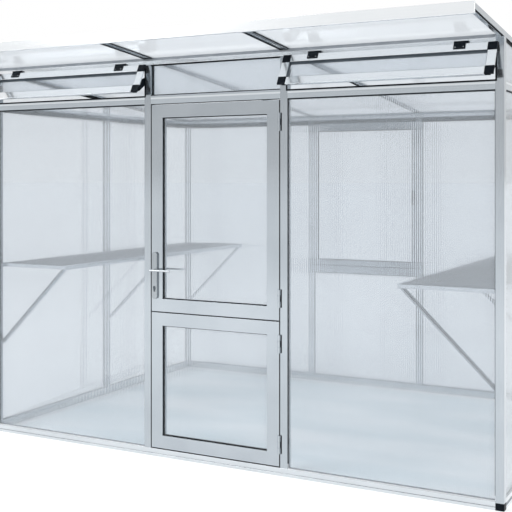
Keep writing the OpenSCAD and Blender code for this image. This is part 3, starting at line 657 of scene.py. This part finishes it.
groove_shade_sheet("strut_groove_painted_shade", "shelf_struts", 5 * MM, 0.5 * MM)


# ---------------------------------------------------------------- screws
# Rings of a screw's head as (radius, height) in millimetres, from the socket's floor out to the foot
SCREW = [(1.2, 0.7), (1.5, 1.7), (2.5, 1.4), (3.1, 0.8), (3.3, 0)]
SCREW_INSET, SCREW_RISE = 9 * MM, 8 * MM


def add_screw(mesh, place, normal, turns=16):
    """A low round head with a socket, standing on a face."""
    side = normal.orthogonal().normalized()
    other = normal.cross(side)
    rings = []
    for radius, height in SCREW:
        angles = [2 * math.pi * i / turns for i in range(turns)]
        spokes = [side * math.cos(angle) + other * math.sin(angle) for angle in angles]
        rings.append([mesh.verts.new(place + normal * height * MM + spoke * radius * MM)
                      for spoke in spokes])
    mesh.faces.new(rings[0])
    for inner, outer in zip(rings, rings[1:]):
        for i in range(turns):
            j = (i + 1) % turns
            mesh.faces.new((inner[i], outer[i], outer[j], inner[j]))
    mesh.faces.new(rings[-1][::-1])


def widest_faces(node):
    """The corner points and the normal of the widest face of each solid of a node."""
    mesh = welded(node)
    faces = {}
    for points, _ in islands(node):
        corners = {tuple(round(c, 6) for c in p) for p in points}
        own = [f for f in mesh.faces if tuple(round(c, 6) for c in f.verts[0].co) in corners]
        best = max(own, key=lambda face: face.calc_area())
        corners = [vert.co.copy() for vert in best.verts]
        faces[tuple(best.calc_center_median())] = (corners, best.normal.copy())
    mesh.free()
    return list(faces.values())


screws = bmesh.new()
for points, normal in widest_faces("vent_hinges"):
    low, high = min(p.x for p in points), max(p.x for p in points)
    bottom = min(points, key=lambda p: p.z)
    down = normal.cross(SIDEWAYS).normalized()
    down = down if down.z < 0 else -down
    for x in (low + SCREW_INSET, high - SCREW_INSET):
        add_screw(screws, Vector((x, bottom.y, bottom.z)) - down * SCREW_RISE, normal)
bmesh.ops.recalc_face_normals(screws, faces=screws.faces)
piece("vent_hinge_screws", screws, lock_steel)


# ---------------------------------------------------------------- hinge strips of painted shadow
# Strips of painted shadow: their width, depth and how far they reach past the hinge's edge
STRIP_WIDTH, STRIP_DEPTH, STRIP_LAP = 4 * MM, 4.2 * MM, 0.2 * MM


def hinge_shadow_strips(name):
    """Black strips along the outer edges of the hinges' post halves: painted shadow beside the hinge barrels.
    """
    mesh = bmesh.new()
    for points, _ in islands("post_hinges"):
        low, high = [Vector([f(p[i] for p in points) for i in range(3)]) for f in (min, max)]
        centre = Vector((high.x - STRIP_WIDTH / 2 + STRIP_LAP, high.y - STRIP_DEPTH / 2,
                         (low.z + high.z) / 2))
        add_box(mesh, centre, HOUSE_AXES, (STRIP_WIDTH, STRIP_DEPTH, high.z - low.z))
    soften(mesh)
    return piece(name, mesh, black)


hinge_shadow_strips("hinge_painted_shadow_strips")


# ---------------------------------------------------------------- lock cylinder
CYLINDER_RISE = 65 * MM
HEAD_RADIUS, FOOT_RADIUS, FOOT_DROP = 8.3 * MM, 4.8 * MM, 19 * MM


def lock_cylinder(name, proud):
    """Dark face on the outer end of the lock cylinder: a round head over a narrower foot with a round end."""
    low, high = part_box("lock_plates")
    outline = []
    for i in range(25):
        turn = math.radians(-30 + 240 * i / 24)
        outline.append((HEAD_RADIUS * math.cos(turn), HEAD_RADIUS * math.sin(turn)))
    for i in range(13):
        turn = math.radians(180 + 180 * i / 12)
        outline.append((FOOT_RADIUS * math.cos(turn), FOOT_RADIUS * math.sin(turn) - FOOT_DROP))
    mesh = bmesh.new()
    middle, height = (low.x + high.x) / 2, low.z + CYLINDER_RISE
    face = mesh.faces.new([mesh.verts.new((middle + x, low.y, height + z)) for x, z in outline])
    pull_forward(mesh, [face], proud)
    return piece(name, mesh, dark_grey_and_painted_shade, "upper_leaf")


lock_cylinder("lock_cylinder_face", 0.6 * MM)


# ---------------------------------------------------------------- studio
def add_camera(scene):
    """The fitted camera."""
    data = bpy.data.cameras.new("camera")
    data.lens = CAMERA_LENS
    data.sensor_width = CAMERA_SENSOR
    data.shift_y = CAMERA_SHIFT
    camera = bpy.data.objects.new("camera", data)
    camera.location = CAMERA_PLACE
    camera.rotation_euler = (math.radians(90), 0, math.radians(CAMERA_YAW))
    scene.collection.objects.link(camera)
    scene.camera = camera


def add_world(scene):
    """A soft white world that is plain white where it is seen, mirrored or looked at through a sheet."""
    world = bpy.data.worlds.new("studio")
    scene.world = world
    world.use_nodes = True
    nodes, links = world.node_tree.nodes, world.node_tree.links
    nodes.clear()
    out = nodes.new("ShaderNodeOutputWorld")
    soft = new_node(nodes, "Background", Color=(0.975, 0.985, 1.0, 1), Strength=WORLD_LIGHT)
    white = new_node(nodes, "Background", Color=(1, 1, 1, 1))
    path = nodes.new("ShaderNodeLightPath")
    seen = math_node(nodes, links, "MAXIMUM",
                     path.outputs["Is Camera Ray"], path.outputs["Is Glossy Ray"])
    looked_at = math_node(nodes, links, "MAXIMUM", seen, path.outputs["Is Transmission Ray"])
    mix = mix_shaders(nodes, links, looked_at, soft, white)
    links.new(mix.outputs["Shader"], out.inputs["Surface"])


def add_ground(scene):
    """A wide pale ground just under the house, with a glow that fades it into the world."""
    mesh = bmesh.new()
    bmesh.ops.create_grid(mesh, x_segments=1, y_segments=1, size=GROUND_REACH)
    data = bpy.data.meshes.new("ground")
    mesh.to_mesh(data)
    mesh.free()
    floor = bpy.data.objects.new("ground", data)
    floor.location = (0, 0, cad_box[0].z - GROUND_DROP)
    scene.collection.objects.link(floor)
    mat, nodes, links, out = new_material("studio_floor")
    bsdf = new_node(nodes, "BsdfPrincipled", Base_Color=(0.6, 0.61, 0.62, 1), Roughness=0.9,
                    Specular_IOR_Level=0.1)
    glow = nodes.new("ShaderNodeEmission")
    path = nodes.new("ShaderNodeLightPath")
    through = path.outputs["Is Transmission Ray"]
    seen = math_node(nodes, links, "MAXIMUM", path.outputs["Is Camera Ray"], through)
    base = spread_value(nodes, links, seen, GLOW_FOR_LIGHT, GLOW_SEEN)
    straight = math_node(nodes, links, "SUBTRACT", 1, through)
    mirrored = math_node(nodes, links, "MULTIPLY", path.outputs["Is Glossy Ray"], straight)
    raised = math_node(nodes, links, "MULTIPLY_ADD", mirrored, GLOW_MIRRORED, base)
    strength = math_node(nodes, links, "MULTIPLY_ADD", through, GLOW_THROUGH, raised)
    links.new(strength, glow.inputs["Strength"])
    both = nodes.new("ShaderNodeAddShader")
    links.new(bsdf.outputs["BSDF"], both.inputs[0])
    links.new(glow.outputs["Emission"], both.inputs[1])
    links.new(both.outputs["Shader"], out.inputs["Surface"])
    data.materials.append(mat)


def add_lamp(scene, name, place, power):
    """A large round lamp turned to the middle of the house."""
    light = bpy.data.lights.new(name, "AREA")
    light.shape = "DISK"
    light.size = LAMP_SIZE
    light.energy = power
    lamp = bpy.data.objects.new(name, light)
    lamp.location = place
    lamp.rotation_euler = (LAMP_TARGET - Vector(place)).to_track_quat("-Z", "Y").to_euler()
    scene.collection.objects.link(lamp)


stage = bpy.context.scene
stage.view_settings.view_transform = "Standard"
stage.cycles.transparent_max_bounces = 40
add_camera(stage)
add_world(stage)
add_ground(stage)
add_lamp(stage, "key", (-5, -7, 7), 320)
add_lamp(stage, "fill", (7, -4, 5), 160)
